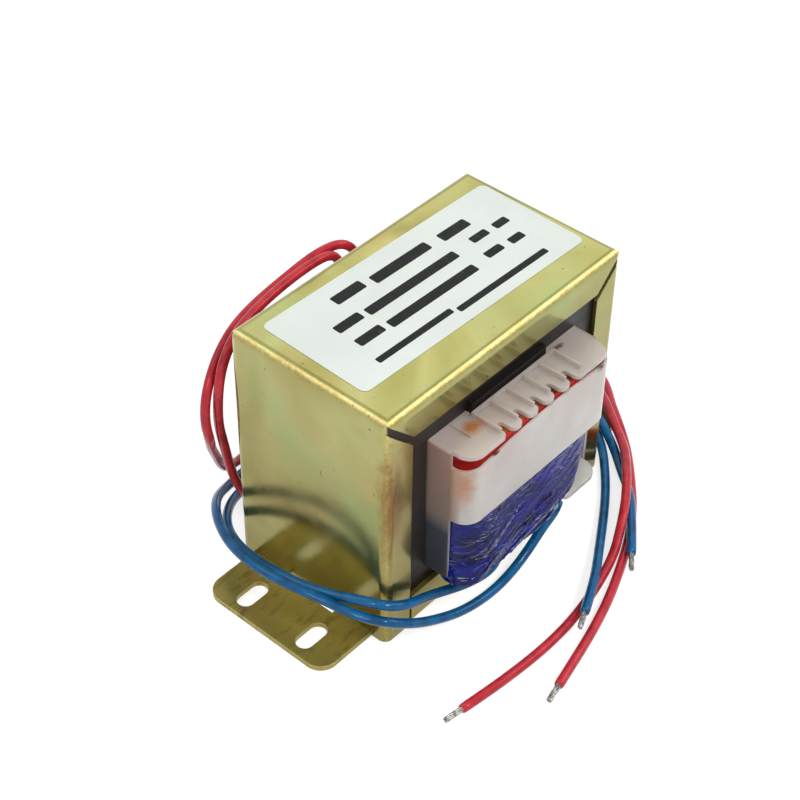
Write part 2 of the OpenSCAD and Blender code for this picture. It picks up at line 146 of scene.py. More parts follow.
# points along each lead, in millimetres, from the lead slot of the bobbin to the free end
ROUTES = {
    "red_lead_a": [
        (5.6, 35.4, 59.5), (5, 35.6, 62.2), (3, 35.9, 64.6), (-0.5, 36.2, 65.6), (-8, 36.5, 65.3),
        (-15, 36.5, 64.6), (-22, 36, 64), (-31, 34.5, 63.4), (-38.5, 32, 62), (-43, 30.5, 57.8),
        (-44.6, 30.3, 51), (-44.5, 31, 44), (-43, 32.5, 37), (-41, 33.3, 29), (-39.5, 33.4, 20),
        (-37.5, 32.5, 11), (-33, 31.5, 4), (-25, 31, 1.3), (-12, 31, 1.3), (8, 31, 1.3),
        (30, 31.5, 1.3), (50, 31.5, 1.3), (62, 26, 1.3), (69.4, 14, 1.3), (70.8, 0, 1.4),
        (66.5, -8.5, 3.4), (60.8, -15.6, 4.8), (57.2, -20, 4.9), (51.5, -28, 4.4), (48.6, -31, 5),
        (44.6, -34.3, 5.6), (40.2, -37.7, 6.2), (36.3, -40.4, 6.4), (32.2, -43.2, 6.3),
        (26.7, -46.3, 5.5), (21.7, -48.7, 3.2), (15.3, -51.6, 1.4), (-8, -57, 1.3),
        (-30, -56, 1.3), (-47.8, -53.4, 1.3),
    ],
    "red_lead_b": [
        (11.8, 35.4, 59.5), (11, 36, 62.1), (9, 37, 64.2), (5.8, 38.2, 65), (-1, 39.4, 64.5),
        (-10, 39.8, 62.8), (-20, 39.5, 61.8), (-30, 38, 61), (-37.5, 35.7, 59.2), (-43.2, 34, 55),
        (-47.4, 32.5, 48.5), (-48.4, 31.5, 42), (-46.8, 32, 36), (-44, 35.2, 29.5),
        (-39.8, 38.4, 22), (-35.5, 41.6, 13), (-29.5, 45.4, 4.5), (-21, 48.4, 1.3), (-5, 49, 1.3),
        (14, 49.4, 1.3), (34, 49, 1.3), (52, 45, 1.3), (66, 34, 1.3), (74, 18, 1.3),
        (75.4, 2, 1.3), (71.4, -7.8, 1.6), (64.2, -14.6, 2.8), (59.9, -19.8, 3.1),
        (56.7, -24.2, 2.2), (52.5, -29.3, 1.3), (45.1, -35.9, 1.3), (37.7, -42, 1.3),
        (31.4, -46.3, 1.3), (24.8, -50.1, 1.3), (17.9, -53.3, 1.3), (10, -56.6, 1.3),
        (2.1, -59.5, 1.3), (-8.2, -62.4, 1.3), (-16.3, -64.2, 1.3), (-26.3, -66.4, 1.3),
    ],
    "blue_lead_a": [
        (11.8, -35.4, 15.7), (11.1, -35.2, 13), (9, -34.8, 10.9), (6, -34.7, 9), (1, -34.8, 5.6),
        (-5.3, -35, 2.9), (-14, -35, 1.4), (-24.5, -34.2, 2.6), (-31.8, -32.8, 5),
        (-37.4, -31.6, 7.3), (-42.8, -30.8, 10.9), (-47.9, -28.5, 13.9), (-50.9, -21.5, 13.6),
        (-53.6, -14.6, 15.9), (-56.2, -7.3, 17.2), (-57.9, 0, 17.7), (-58.1, 7.5, 17.4),
        (-56.7, 15.3, 16.3), (-53.9, 22.2, 15.5), (-49.9, 28.6, 14.4), (-45, 33.8, 11.8),
        (-39.8, 38, 7.8), (-34, 41.3, 3.8), (-27.5, 43.6, 1.7), (-12, 44.8, 1.3), (8, 43.5, 1.3),
        (26, 40.2, 1.3), (39.5, 37, 1.9), (49, 31.4, 4.5), (54, 23, 3.8), (55.6, 12, 2.9),
        (55, -2, 2.9), (53.4, -13.5, 2.9), (50.9, -20.1, 3.3), (47, -25, 1.7),
        (42.1, -29.4, 1.3), (32.7, -36.8, 1.3), (12.8, -48.8, 2.8), (5.6, -53.2, 4.5),
        (-6, -58.6, 5.1),
    ],
    "blue_lead_b": [
        (-13, -35.4, 15.7), (-13.4, -35.2, 13), (-15, -34.5, 10.5), (-18.2, -33.2, 9),
        (-22.4, -31, 8), (-27.2, -29.1, 8.5), (-33, -28.4, 10.8), (-39.9, -29.4, 14.5),
        (-45.8, -27.3, 16.9), (-48, -21.9, 17), (-50.3, -15.8, 15.9), (-52.7, -9, 15.2),
        (-53.9, -1.5, 14.8), (-54.1, 7, 13.8), (-53.2, 15.3, 12.4), (-50.7, 22.5, 10.9),
        (-46.8, 28.3, 9), (-42, 32.8, 6.7), (-37, 36.3, 4.2), (-31, 38.8, 2.1), (-24, 39.6, 1.3),
        (-14, 39.2, 2), (4, 42.9, 5.1), (19, 46.6, 2.2), (34, 45, 1.3), (48, 39.8, 1.8),
        (57, 30.5, 4.4), (60.3, 20, 3.9), (60.4, 8, 2.9), (59.4, -4, 2.9), (57.3, -12.3, 3.3),
        (54.3, -18.6, 4.8), (51.7, -21.8, 5.1), (50.3, -24.9, 3.6), (49.3, -27.1, 2.3),
        (47.2, -30, 1.6), (43.9, -33.4, 2.3), (39.6, -38.2, 3.6), (35, -43.4, 4.1),
        (19.2, -54.9, 4),
    ],
}


def twisted_strands(name, tip, direction, seed):
    """Tinned strands, seven twisted round one, of uneven lengths and slightly opened at the tip."""
    side = direction.orthogonal().normalized()
    other = direction.cross(side)
    count = 15
    strands = []
    for s in range(OUTER_STRANDS + 1):
        ring = 0 if s == OUTER_STRANDS else STRAND_D
        phase = 2 * math.pi * s / OUTER_STRANDS
        shorter = 0.05 * abs(noise.noise((seed, s, 0.5)))
        line = []
        for i in range(count):
            t = i / (count - 1)
            a = phase + STRAND_TWIST * t
            loose = 1 + 0.35 * max(0, t - 0.7) * noise.noise((seed, s, 2.5))
            along = STRAND_ROOT + (STRAND_L - STRAND_ROOT) * t * (1 - shorter)
            line.append(tip + direction * along
                        + ring * loose * (math.cos(a) * side + math.sin(a) * other))
        strands.append(tube("strand", line, STRAND_D / 2, sides=7))
    return joined(name, strands)


leads = {}
for lead_name, route in ROUTES.items():
    line = smooth_line([Vector(p) * MM for p in route], LEAD_STEPS)
    direction = (line[-1] - line[-2]).normalized()
    end_name = lead_name.replace("lead", "end")

    def insulation(i, angle, last=len(line) - 1, seed=len(route) * 0.37):
        """Radius of the insulation: slightly uneven, with a cut end."""
        r = LEAD_D / 2 * (1 + LEAD_UNEVEN * noise.noise((i * 0.09, 1.3 * math.cos(angle), seed)))
        return r * (1 - LEAD_CUT * (i == last))

    lead = tube(lead_name + "_cord", line, LEAD_D / 2, LEAD_SIDES, insulation)
    end = twisted_strands(end_name + "_strands", line[-1], direction, len(leads) + 0.7)
    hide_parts(lead_name)
    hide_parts(end_name)
    for piece in (lead, end):
        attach(piece, "root")
    leads[lead_name] = (lead, end)

# ---------------------------------------------------------------- film over the lower winding

FILM_T = 0.12 * MM
FILM_ROWS = 46
FILM_COLUMNS = 460
FILM_CORNER = 9 * MM
FILM_INSET = 1.1 * MM
FILM_TOP_GAP = 0.1 * MM
FILM_PROUD = 0.75 * MM
FILM_SINK = 0.35 * MM
RIM_PROUD = 0.45 * MM


def rise(value, start, span):
    """Nothing up to start, one from start + span on, straight between them."""
    return max(0.0, min(1.0, (value - start) / span))


def rounded_outline(left, right, depth, radius, count):
    """Points and outward normals round a rectangle with round corners, in plan."""
    points = []
    straight = [depth * 2 - radius * 2, right - left - radius * 2] * 2
    arc = math.pi / 2 * radius
    total = sum(straight) + 4 * arc
    corners = [
        (left + radius, -depth + radius, math.pi), (right - radius, -depth + radius, 1.5 * math.pi),
        (right - radius, depth - radius, 0), (left + radius, depth - radius, math.pi / 2),
    ]
    for k in range(count):
        s = total * k / count
        for side in range(4):
            cx, cy, start = corners[side]
            if s < arc:
                a = start + s / radius
                nx, ny = math.cos(a), math.sin(a)
                points.append((cx + radius * nx, cy + radius * ny, nx, ny))
                break
            s -= arc
            run = straight[1] if side % 2 == 0 else straight[0]
            if s < run:
                a = start + math.pi / 2
                nx, ny = math.cos(a), math.sin(a)
                points.append((cx + radius * nx - s * ny, cy + radius * ny + s * nx, nx, ny))
                break
            s -= run
    return points


def crease(x, z, seed):
    """Height of sharp creases that fan out from the lower left of the film."""
    # slope seen from a point to the left of the film, which every crease runs away from
    fan = (z - 8 * MM) / (x + 62 * MM)
    along = x * 18 + z * 12
    across = fan * 26 + 0.9 * noise.noise((x * 45, z * 45, seed))
    fold = 1 - 2 * abs(noise.noise((along, across, seed)))
    fine = 1 - 2 * abs(noise.noise((along * 2.3 + 5, across * 2.7, seed + 3)))
    return 0.62 * fold * abs(fold) + 0.28 * fine


def film_wrap():
    """Blue film pulled round the lower winding and over the rim of the bottom flange."""
    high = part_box("secondary_tape")[1]
    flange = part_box("bobbin")[0]
    left, right = flange.x + FILM_INSET, high.x
    top, bottom = high.z - FILM_TOP_GAP, flange.z + FILM_INSET
    depth = high.y + FILM_PROUD
    rim = -flange.y + RIM_PROUD - depth
    rows, count = FILM_ROWS, FILM_COLUMNS
    outline = rounded_outline(left, right, depth, FILM_CORNER, count)
    verts, faces = [], []
    # the outer skin, then the inner one
    for skin in (0, FILM_T):
        for i in range(rows + 1):
            t = i / rows
            for x, y, nx, ny in outline:
                front = rise(-y, 24 * MM, 6 * MM)
                near_left = rise(-x, 8 * MM, 16 * MM)
                near_right = rise(x, 6 * MM, 16 * MM)
                over_rim = front * rise(-x, -13 * MM, 7 * MM)
                # the lower edge hangs down, in small waves, where it's pulled over the rim
                waves = 0.6 + 0.4 * math.cos(x * 900)
                droop = 1.3 * MM * front * near_left**2 * waves + 1.9 * MM * over_rim
                z = bottom - droop + (top - bottom + droop) * t
                # there it also stands out, most at the round corner
                corner = 8 * MM * (nx * ny) ** 2
                flare = (rim + corner) * over_rim * max(0.0, 1 - t / 0.30) ** 0.6
                # the front swells at half height, and is drawn in at the lower right
                swell = 0.45 * MM * math.sin(math.pi * t) * front
                pinch = 3.2 * MM * near_right * front * (1 - t) ** 1.2
                # creases are deepest below, and the cut edge is uneven
                wrinkle = 0.55 * MM * crease(x + 0.6 * y, z, 1.7) * (0.35 + 0.65 * min(1, 4 * (1 - t)))
                edge = 0.25 * MM * noise.noise((x * 160, y * 160, 4.1)) * (1 - t) ** 6
                out = swell - pinch * (0.45 + 0.55 * abs(nx)) + wrinkle + flare - FILM_SINK - skin
                verts.append((x + nx * out, y + ny * out, z + edge))
    layer = (rows + 1) * count
    for i in range(rows):
        for k in range(count):
            j = (k + 1) % count
            a, b, c, d = i * count + k, i * count + j, (i + 1) * count + j, (i + 1) * count + k
            faces.append((a, b, c, d))
            faces.append((layer + a, layer + d, layer + c, layer + b))
    for k in range(count):
        j = (k + 1) % count
        faces.append((k, layer + k, layer + j, j))
        a, b = rows * count + k, rows * count + j
        faces.append((a, b, layer + b, layer + a))
    return new_mesh("secondary_film", verts, faces)


film = film_wrap()
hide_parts("secondary_tape")
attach(film, "root")

# ---------------------------------------------------------------- plain bars on the label

BAR_TURN = math.radians(-1.6)
BAR_POINTS = 20
BAR_SUNK = 0.02 * MM
BAR_PROUD = 0.015 * MM
# centre, length and height of each bar in millimetres, in the label's own plane
LABEL_BARS = [
    ((-16.5, 11.0), 10.0, 3.4), ((1.0, 9.9), 20.0, 3.4), ((20.0, 9.3), 10.0, 3.4),
    ((-24.6, 3.0), 8.5, 3.0), ((-2.8, 2.4), 32.0, 3.0),
    ((-24.4, -3.9), 8.5, 3.0), ((-2.9, -4.6), 31.0, 3.0),
    ((22.6, 3.0), 6.0, 2.6), ((30.6, 2.8), 5.0, 2.6),
    ((20.6, -3.7), 6.0, 2.6), ((28.6, -4.2), 5.0, 2.6),
    ((-17.0, -11.6), 26.0, 2.0), ((13.6, -12.8), 33.0, 2.0),
]


def label_bars():
    """Dark bars with round corners where a label would carry print."""
    low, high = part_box("label")
    middle = (low + high) / 2
    turn, count = BAR_TURN, BAR_POINTS
    verts, faces = [], []
    for (cx, cy), length, height in LABEL_BARS:
        r = min(height * 0.25, 0.6)
        ring = []
        for k in range(count):
            a = 2 * math.pi * (k + 0.5) / count
            x = cx + math.copysign(length / 2 - r, math.cos(a)) + r * math.cos(a)
            y = cy + math.copysign(height / 2 - r, math.sin(a)) + r * math.sin(a)
            ring.append((middle.x + MM * (x * math.cos(turn) - y * math.sin(turn)),
                         middle.y + MM * (x * math.sin(turn) + y * math.cos(turn))))
        start = len(verts)
        verts += [(x, y, high.z - BAR_SUNK) for x, y in ring]
        verts += [(x, y, high.z + BAR_PROUD) for x, y in ring]
        faces.append(tuple(start + count + k for k in range(count)))
        faces.append(tuple(start + count - 1 - k for k in range(count)))
        for k in range(count):
            j = (k + 1) % count
            faces.append((start + k, start + j, start + count + j, start + count + k))
    return new_mesh("label_bars", verts, faces, smooth=False)


bars = label_bars()
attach(bars, "root")

# ---------------------------------------------------------------- materials

# ramp positions, strengths and colours below are set against the photograph

# sockets of the Mix node when it mixes colours
MIX_FACTOR, MIX_A, MIX_B, MIX_RESULT = 0, 6, 7, 2


class Nodes:
    """A small helper for building one procedural material."""

    def __init__(self, name):
        self.mat = bpy.data.materials.new(name)
        self.mat.use_nodes = True
        self.tree = self.mat.node_tree
        self.bsdf = self.tree.nodes["Principled BSDF"]
        self.coord = self.tree.nodes.new("ShaderNodeTexCoord").outputs["Object"]

    def set(self, **values):
        """Plain values for the shader's own sockets."""
        for key, value in values.items():
            self.bsdf.inputs[key.replace("_", " ")].default_value = value

    def link(self, a, b):
        self.tree.links.new(a, b)

    def feed(self, socket, key):
        """A socket linked to one of the shader's inputs."""
        self.link(socket, self.bsdf.inputs[key])

    def node(self, kind, **props):
        """A new shader node of this kind, with its properties set."""
        n = self.tree.nodes.new("ShaderNode" + kind)
        for key, value in props.items():
            setattr(n, key, value)
        return n

    def place(self, scale=(1, 1, 1), turn=(0, 0, 0), move=(0, 0, 0)):
        """Object coordinates, scaled, turned and moved."""
        n = self.node("Mapping")
        self.link(self.coord, n.inputs["Vector"])
        n.inputs["Scale"].default_value = scale
        n.inputs["Rotation"].default_value = turn
        n.inputs["Location"].default_value = move
        return n.outputs["Vector"]

    def noise(self, scale, detail=4, rough=0.55, vector=None, distortion=0.0):
        """Cloudy noise from 0 to 1, mostly near 0.5."""
        n = self.node("TexNoise")
        self.link(vector or self.coord, n.inputs["Vector"])
        n.inputs["Scale"].default_value = scale
        n.inputs["Detail"].default_value = detail
        n.inputs["Roughness"].default_value = rough
        n.inputs["Distortion"].default_value = distortion
        return n.outputs["Fac"]

    def ramp(self, fac, stops):
        """Colour ramp from (position, colour) stops; a number stands for a grey."""
        n = self.node("ValToRGB")
        self.link(fac, n.inputs["Fac"])
        elements = n.color_ramp.elements
        while len(elements) < len(stops):
            elements.new(0.5)
        for element, (position, colour) in zip(elements, stops):
            element.position = position
            grey = isinstance(colour, (int, float))
            element.color = (colour,) * 3 + (1,) if grey else tuple(colour) + (1,)
        return n.outputs["Color"]

    def mix(self, fac, a, b, blend="MIX"):
        """Colours a and b mixed; each may be a socket or a colour."""
        n = self.node("Mix", data_type="RGBA", blend_type=blend)
        for value, index in ((fac, MIX_FACTOR), (a, MIX_A), (b, MIX_B)):
            if isinstance(value, bpy.types.NodeSocket):
                self.link(value, n.inputs[index])
            elif index == MIX_FACTOR:
                n.inputs[index].default_value = value
            else:
                n.inputs[index].default_value = tuple(value) + (1,)
        return n.outputs[MIX_RESULT]

    def math(self, operation, a, b=0.0, c=0.0):
        """One Math node; each value may be a socket or a number."""
        n = self.node("Math", operation=operation)
        for value, socket in zip((a, b, c), n.inputs):
            if isinstance(value, bpy.types.NodeSocket):
                self.link(value, socket)
            else:
                socket.default_value = value
        return n.outputs[0]

    def axis(self, name):
        """One object coordinate, in metres."""
        n = self.node("SeparateXYZ")
        self.link(self.coord, n.inputs[0])
        return n.outputs[name]

    def bends(self):
        """One where the surface turns between two faces, nothing on the flats."""
        n = self.node("SeparateXYZ")
        self.link(self.node("NewGeometry").outputs["Normal"], n.inputs[0])
        x, y, z = (self.math("ABSOLUTE", out) for out in n.outputs)
        longest = self.math("MAXIMUM", x, self.math("MAXIMUM", y, z))
        return self.ramp(longest, [(0.72, 1), (0.985, 0)])

    def edges(self, radius):
        """Normal softened over a radius in millimetres, and a mask that is one along sharp edges."""
        soft = self.node("Bevel", samples=4)
        soft.inputs["Radius"].default_value = radius * MM
        alike = self.node("VectorMath", operation="DOT_PRODUCT")
        self.link(soft.outputs["Normal"], alike.inputs[0])
        self.link(self.node("NewGeometry").outputs["Normal"], alike.inputs[1])
        mask = self.ramp(alike.outputs["Value"], [(0.86, 1), (0.995, 0)])
        return soft.outputs["Normal"], mask

    def spot(self, centre, size, ragged):
        """One at a centre in millimetres, fading to nothing over a ragged oval of that size."""
        inner = [1 / (s * MM) for s in size]
        vector = self.place(inner, move=[-c * MM * k for c, k in zip(centre, inner)])
        length = self.node("VectorMath", operation="LENGTH")
        self.link(vector, length.inputs[0])
        edge = self.math("MULTIPLY", self.noise(330, 4, 0.65), ragged * 2)
        reach = self.math("ADD", self.math("SUBTRACT", length.outputs["Value"], ragged), edge)
        return self.ramp(reach, [(0.25, 1), (0.95, 0)])

    def bump(self, height, strength, distance, normal=None):
        """Fine relief from one height socket."""
        n = self.node("Bump")
        if normal:
            self.link(normal, n.inputs["Normal"])
        self.link(height, n.inputs["Height"])
        n.inputs["Strength"].default_value = strength
        n.inputs["Distance"].default_value = distance
        self.feed(n.outputs["Normal"], "Normal")


def srgb(r, g, b):
    """A colour written as it looks, 0 to 255, in the renderer's linear values."""
    values = (r / 255, g / 255, b / 255)
    return tuple(((v + 0.055) / 1.055) ** 2.4 if v > 0.04 else v / 12.92 for v in values)


def plated_steel(name, warm=0.0, rough=0.0):
    """Yellow chromate over zinc: olive gold that drifts to green, pink and brown."""
    m = Nodes(name)
    drift = m.noise(22, 3, 0.5, distortion=0.8)
    colour = m.ramp(drift, [
        (0.34, srgb(138, 133, 72)), (0.46, srgb(154, 150, 88)),
        (0.56, srgb(168, 165, 106)), (0.68, srgb(150, 142, 80)),
    ])
    green = m.ramp(m.noise(30, 2, 0.5, m.place(move=(7, 4, 1))), [(0.48, 0), (0.70, 0.65)])
    colour = m.mix(green, colour, srgb(146, 162, 106))
    rosy = m.ramp(m.noise(48, 4, 0.6, m.place(move=(3, 1, 2))), [(0.50, 0), (0.72, 0.55)])
    colour = m.mix(rosy, colour, srgb(180, 146, 92))
    # bends are painted bright, partly a painted highlight and partly worn metal, with bronze streaks
    # across them
    bends = m.bends()
    rubbed_and_highlight = m.ramp(m.noise(800, 4, 0.6), [(0.38, srgb(184, 154, 92)), (0.62, srgb(206, 194, 132))])
    colour = m.mix(m.math("MULTIPLY", bends, 0.7), colour, rubbed_and_highlight)
    # painted shade: a darker, duller olive towards the ground
    height = m.ramp(m.math("MULTIPLY", m.axis("Z"), 12.0), [(0.05, 0.75), (0.75, 0.0)])
    low_shade_noise = m.ramp(m.noise(34, 5, 0.6, m.place(move=(1, 8, 3))), [(0.35, 0.45), (0.65, 1)])
    colour = m.mix(m.math("MULTIPLY", height, low_shade_noise), colour, srgb(122, 110, 50))
    # some pieces are warmer all over
    if warm:
        colour = m.mix(warm, colour, srgb(168, 150, 78))
    # rust brown stains on the bend between the visible end wall and its front lip
    stain = m.spot((-43.0, -26.0, 50.0), (5.0, 5.0, 22.0), 0.55)
    streaks = m.ramp(m.noise(70, 6, 0.7, m.place(scale=(3, 3, 0.6))), [(0.38, 0.1), (0.54, 0.9)])
    colour = m.mix(m.math("MULTIPLY", stain, streaks), colour, srgb(112, 70, 36))
    lip = m.spot((-41.0, -26.0, 42.0), (7.0, 4.0, 36.0), 0.5)
    colour = m.mix(m.math("MULTIPLY", lip, 0.45), colour, srgb(140, 110, 60))
    # scuffs close to the ground, dark specks, and edges painted lighter, partly bare worn metal and partly
    # a painted highlight
    low = m.ramp(m.math("MULTIPLY", m.axis("Z"), 100.0), [(0.10, 1), (0.30, 0)])
    scuff_noise = m.noise(150, 5, 0.7, m.place(scale=(1, 3, 1), turn=(0, 0, 0.6)))
    scuffs = m.ramp(scuff_noise, [(0.52, 0), (0.66, 0.7)])
    colour = m.mix(m.math("MULTIPLY", low, scuffs), colour, srgb(92, 70, 34))
    specks = m.ramp(m.noise(640, 2, 0.5), [(0.71, 0), (0.76, 0.8)])
    colour = m.mix(specks, colour, srgb(84, 70, 40))
    soft_normal, edge = m.edges(0.35)
    # painted highlight along the sharp edges, together with worn bare metal
    colour = m.mix(m.math("MULTIPLY", edge, 0.6), colour, srgb(214, 202, 150))
    m.feed(colour, "Base Color")
    polish = m.ramp(m.noise(90, 5, 0.65), [(0.35, 0.13 + rough), (0.7, 0.24 + rough)])
    m.feed(m.math("ADD", polish, m.math("MULTIPLY", bends, 0.12)), "Roughness")
    # fine scratches, slow waves in the sheet and the plating's grain
    scratches = m.noise(40, 7, 0.72, m.place(scale=(1, 16, 3), turn=(0.3, 0.5, 0.4)))
    waves = m.noise(28, 2, 0.5)
    grain = m.math("MULTIPLY", m.noise(1300, 2, 0.6), 0.10)
    height = m.math("ADD", m.math("MULTIPLY", scratches, 0.35), m.math("MULTIPLY", waves, 1.6))
    height = m.math("ADD", height, grain)
    m.bump(height, 0.35, 0.00022, soft_normal)
    m.set(Metallic=0.84)
    return m.mat


def core_steel():
    """Silicon steel under dark varnish, with the fine edges of the sheets."""
    m = Nodes("core_varnish")
    layers = m.noise(1, 1, 0.5, m.place(scale=(8, 1900, 8)))
    colour = m.ramp(layers, [
        (0.42, srgb(20, 16, 14)), (0.62, srgb(38, 31, 27)), (0.74, srgb(78, 68, 60)),
    ])
    m.feed(colour, "Base Color")
    m.feed(m.ramp(m.noise(90, 4), [(0.3, 0.32), (0.7, 0.52)]), "Roughness")
    m.bump(layers, 0.35, 0.0002)
    m.set(Specular_IOR_Level=0.3)
    return m.mat


def milky_plastic(name, cloudy, clear, see_through):
    """Translucent nylon, painted with the windings that show through it and with shade, and scorched in
    places.
    """
    m = Nodes(name)
    cloud = m.noise(60, 4, 0.55)
    colour = m.ramp(cloud, [(0.35, srgb(*cloudy)), (0.65, srgb(*clear))])
    # painted see-through: a pink blush on the upper part, for the red tape showing through the plastic
    upper = m.ramp(m.math("MULTIPLY", m.axis("Z"), 12.0), [(0.45, 0), (0.66, 1)])
    painted_red_blush = m.ramp(m.noise(42, 3, 0.5, m.place(move=(2, 5, 1))), [(0.36, 0.05), (0.66, 0.50)])
    colour = m.mix(m.math("MULTIPLY", upper, painted_red_blush), colour, srgb(222, 192, 178))
    # painted on the side plates, for the windings that show through them and the shade they stand in:
    # pinkish from the red winding above, dark blue-grey from the blue one below
    side = m.ramp(m.math("MULTIPLY", m.math("ABSOLUTE", m.axis("X")), 30.0), [(0.832, 0), (0.848, 1)])
    see_through_and_shade = m.ramp(m.math("MULTIPLY", m.axis("Z"), 15.0), [
        (0.26, srgb(30, 44, 62)), (0.47, srgb(46, 66, 84)),
        (0.55, srgb(186, 160, 150)), (0.85, srgb(214, 176, 164)),
    ])
    colour = m.mix(m.math("MULTIPLY", side, 0.92), colour, see_through_and_shade)
    # an orange patch, three brown scorch marks and a warm, darker patch on the near cover
    colour = m.mix(m.spot((-18, -29, 59), (4.5, 3.0, 3), 0.5), colour, srgb(216, 142, 84))
    for place, size in (
        ((18.4, -26.2, 59), (3.2, 1.2, 2)),
        ((22.6, -37.4, 56.6), (2.0, 1.4, 1.6)),
        ((-18.5, -36.9, 56.0), (1.6, 1.2, 0.7)),
    ):
        colour = m.mix(m.spot(place, size, 0.8), colour, srgb(96, 62, 36))
    colour = m.mix(m.spot((-27, -34, 50), (3.5, 5, 9), 0.5), colour, srgb(214, 160, 120))
    m.feed(colour, "Base Color")
    m.feed(m.ramp(m.noise(200, 4), [(0.3, 0.42), (0.7, 0.56)]), "Roughness")
    m.bump(m.noise(80, 3, 0.5), 0.10, 0.0004)
    m.set(Transmission_Weight=see_through, Subsurface_Weight=0.35, Subsurface_Scale=0.003, IOR=1.45)
    m.set(Coat_Weight=0.7, Coat_Roughness=0.16)
    m.bsdf.inputs["Subsurface Radius"].default_value = (1.0, 0.8, 0.7)
    return m.mat


def enamelled_copper():
    """Close turns of enamelled wire."""
    m = Nodes("enamelled_copper")
    turns = m.noise(1, 1, 0.5, m.place(scale=(30, 30, 2200)))
    m.feed(m.ramp(turns, [(0.4, srgb(120, 60, 30)), (0.6, srgb(196, 116, 66))]), "Base Color")
    m.feed(m.ramp(turns, [(0.4, 0.45), (0.6, 0.25)]), "Roughness")
    m.bump(turns, 0.6, 0.0002)
    m.set(Metallic=0.9)
    return m.mat


def film_tape(name, dark, light, rough, painted_glints=0.0):
    """Glossy polyester tape with creases, painted darker in their hollows, and painted highlight lines
    along some of them.
    """
    m = Nodes(name)
    crease = m.noise(120, 3, 0.5, m.place(scale=(1, 1, 2.6), turn=(0, 0.35, 0)), distortion=1.0)
    # painted shade: the colour follows the crease relief, darker in the hollows and lighter on the ridges
    colour = m.ramp(crease, [(0.35, srgb(*dark)), (0.65, srgb(*light))])
    if painted_glints:
        # painted highlights: thin pale lines along some of the folds
        stretched = m.place(scale=(0.30, 0.30, 2.4), turn=(0, 0.50, 0))
        folds = m.noise(190, 2, 0.5, stretched, distortion=0.4)
        line = m.ramp(folds, [(0.488, 0), (0.50, 1), (0.512, 0)])
        where = m.ramp(m.noise(170, 2, 0.5, m.place(move=(4, 2, 6))), [(0.46, 0), (0.62, painted_glints)])
        colour = m.mix(m.math("MULTIPLY", line, where), colour, srgb(176, 186, 232))
    m.feed(colour, "Base Color")
    m.feed(m.ramp(m.noise(300, 3), [(0.35, rough), (0.7, rough + 0.14)]), "Roughness")
    m.bump(crease, 0.25, 0.0006)
    m.set(Specular_IOR_Level=0.22)
    return m.mat


def label_paper():
    """White polyester label with a faint green tone."""
    m = Nodes("label_film")
    tone = m.ramp(m.noise(40, 3), [(0.3, srgb(216, 223, 216)), (0.7, srgb(226, 233, 226))])
    m.feed(tone, "Base Color")
    m.feed(m.ramp(m.noise(500, 2), [(0.3, 0.34), (0.7, 0.46)]), "Roughness")
    m.bump(m.noise(60, 3), 0.08, 0.0003)
    return m.mat


def label_ink():
    """Dark ink, slightly worn."""
    m = Nodes("label_ink")
    wear = m.noise(420, 5, 0.7)
    m.feed(m.ramp(wear, [(0.62, srgb(30, 31, 31)), (0.85, srgb(110, 112, 110))]), "Base Color")
    m.feed(m.ramp(m.noise(500, 2), [(0.3, 0.44), (0.7, 0.60)]), "Roughness")
    m.set(Specular_IOR_Level=0.15)
    return m.mat


def insulation_pvc(name, dark, light):
    """Soft lead insulation, slightly grimy."""
    m = Nodes(name)
    grime = m.noise(230, 4, 0.6)
    m.feed(m.ramp(grime, [(0.3, srgb(*dark)), (0.6, srgb(*light))]), "Base Color")
    m.feed(m.ramp(m.noise(420, 3), [(0.3, 0.10), (0.7, 0.19)]), "Roughness")
    m.bump(m.noise(700, 3), 0.08, 0.0001)
    m.set(Subsurface_Weight=0.08, Subsurface_Scale=0.001, Specular_IOR_Level=0.28)
    return m.mat


def tinned_copper():
    """Dull tin over fine wire."""
    m = Nodes("tinned_strands")
    tone = m.ramp(m.noise(900, 3), [(0.35, srgb(112, 106, 98)), (0.65, srgb(196, 194, 188))])
    m.feed(tone, "Base Color")
    m.feed(m.ramp(m.noise(1500, 2), [(0.3, 0.22), (0.7, 0.40)]), "Roughness")
    m.bump(m.noise(1600, 2), 0.3, 0.0001)
    m.set(Metallic=0.95)
    return m.mat


STEEL = plated_steel("plated_steel")
FOOT_STEEL = plated_steel("plated_foot", warm=0.6, rough=0.26)
CORE = core_steel()
MILKY = milky_plastic("milky_bobbin", (222, 218, 212), (244, 242, 238), see_through=0.50)
COVER = milky_plastic("milky_cover", (224, 219, 213), (242, 239, 234), see_through=0.34)
COPPER = enamelled_copper()
RED_TAPE = film_tape("red_film", (168, 32, 32), (206, 48, 44), rough=0.30)
BLUE_TAPE = film_tape("blue_film", (1, 7, 64), (7, 24, 132), rough=0.05, painted_glints=0.8)
LABEL = label_paper()
INK = label_ink()
RED_PVC = insulation_pvc("red_pvc", (166, 26, 40), (202, 46, 60))
BLUE_PVC = insulation_pvc("blue_pvc", (0, 66, 110), (2, 98, 152))
TINNED = tinned_copper()


def dress(piece, mat):
    """One material on the whole piece."""
    piece.data.materials.clear()
    piece.data.materials.append(mat)


dress(nodes["channel_frame"], STEEL)
dress(nodes["foot_plate"], FOOT_STEEL)
for name in ("outer_e_laminations", "outer_i_laminations", "inner_e_laminations",
             "inner_i_laminations", "wedge_sheets"):
    dress(nodes[name], CORE)
dress(nodes["bobbin"], MILKY)
for name in ("front_cover", "rear_cover"):
    dress(nodes[name], COVER)
dress(nodes["primary_winding"], COPPER)
dress(nodes["primary_tape"], RED_TAPE)
